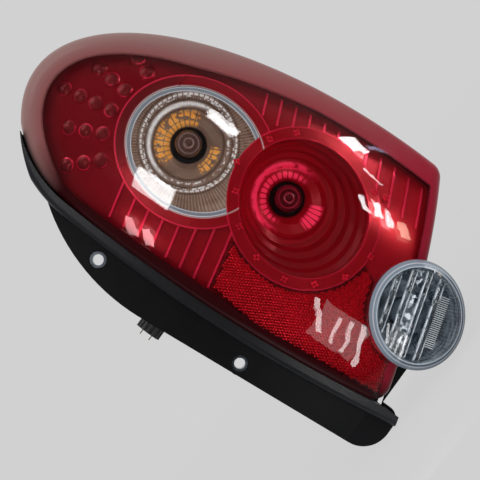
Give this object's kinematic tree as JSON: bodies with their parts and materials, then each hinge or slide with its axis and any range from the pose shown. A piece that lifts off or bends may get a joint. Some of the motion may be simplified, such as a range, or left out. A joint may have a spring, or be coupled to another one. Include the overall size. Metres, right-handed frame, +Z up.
{
  "type": "tail light cluster",
  "caption": "Right-hand car tail lamp: clear domed lens over a red inner lens with indicator and stop reflectors, a round reversing lamp, bulb holders and a bolted side flange.",
  "frame": {"origin": "midway between the flange's bolt holes, on the rear seat of their bosses", "axes": "+X outboard from the flange to the lens's far side, +Y forwards into the car body, +Z up along the line of the bolts; the lens faces -Y"},
  "size_m": [0.2536, 0.1569, 0.3999],
  "materials": {
    "clear_lens": "clear polished plastic",
    "clear_optic": "clear fluted plastic",
    "red_lens": "red polished plastic",
    "reflex_red": "red prism plastic",
    "red_reflector": "red metallised plastic",
    "bright_reflector": "metallised plastic",
    "red_frame": "moulded dark red plastic",
    "plated_steel": "zinc plated",
    "housing_black": "fine grained black",
    "seal_rubber": "satin black rubber",
    "gasket_foam": "closed-cell foam",
    "stud_plastic": "natural nylon",
    "contact_brass": "tinned edges",
    "clear_bulb": "clear glass",
    "amber_bulb": "amber coated glass",
    "bulb_cap": "nickel plated",
    "holder_plastic": "moulded dark grey",
    "tail_holder_plastic": "moulded black"
  },
  "bodies": {
    "root": {"outer_lens": "clear_lens", "inner_lens": "red_lens", "indicator_window": "clear_lens", "reflex_panel": "reflex_red", "indicator_reflector": "bright_reflector", "stop_reflector": "red_reflector", "reverse_lens": "clear_lens", "reverse_optic": "clear_optic", "reverse_reflector": "bright_reflector", "reflector_frame": "red_frame", "frame_screws": "plated_steel", "rear_housing": "housing_black", "bolt_sleeves": "plated_steel", "edge_seal": "seal_rubber", "body_gasket": "gasket_foam", "locating_studs": "stud_plastic", "vent_cap": "seal_rubber", "contact_blades": "contact_brass", "tail_bulb": "clear_bulb", "tail_bulb_cap": "bulb_cap", "tail_holder": "tail_holder_plastic", "tail_holder_seal": "seal_rubber", "indicator_bulb": "amber_bulb", "indicator_bulb_cap": "bulb_cap", "indicator_holder": "holder_plastic", "indicator_holder_seal": "seal_rubber", "stop_bulb": "clear_bulb", "stop_bulb_cap": "bulb_cap", "stop_holder": "holder_plastic", "stop_holder_seal": "seal_rubber", "reverse_bulb": "clear_bulb", "reverse_bulb_cap": "bulb_cap", "reverse_holder": "holder_plastic", "reverse_holder_seal": "seal_rubber"}
  },
  "joints": []
}
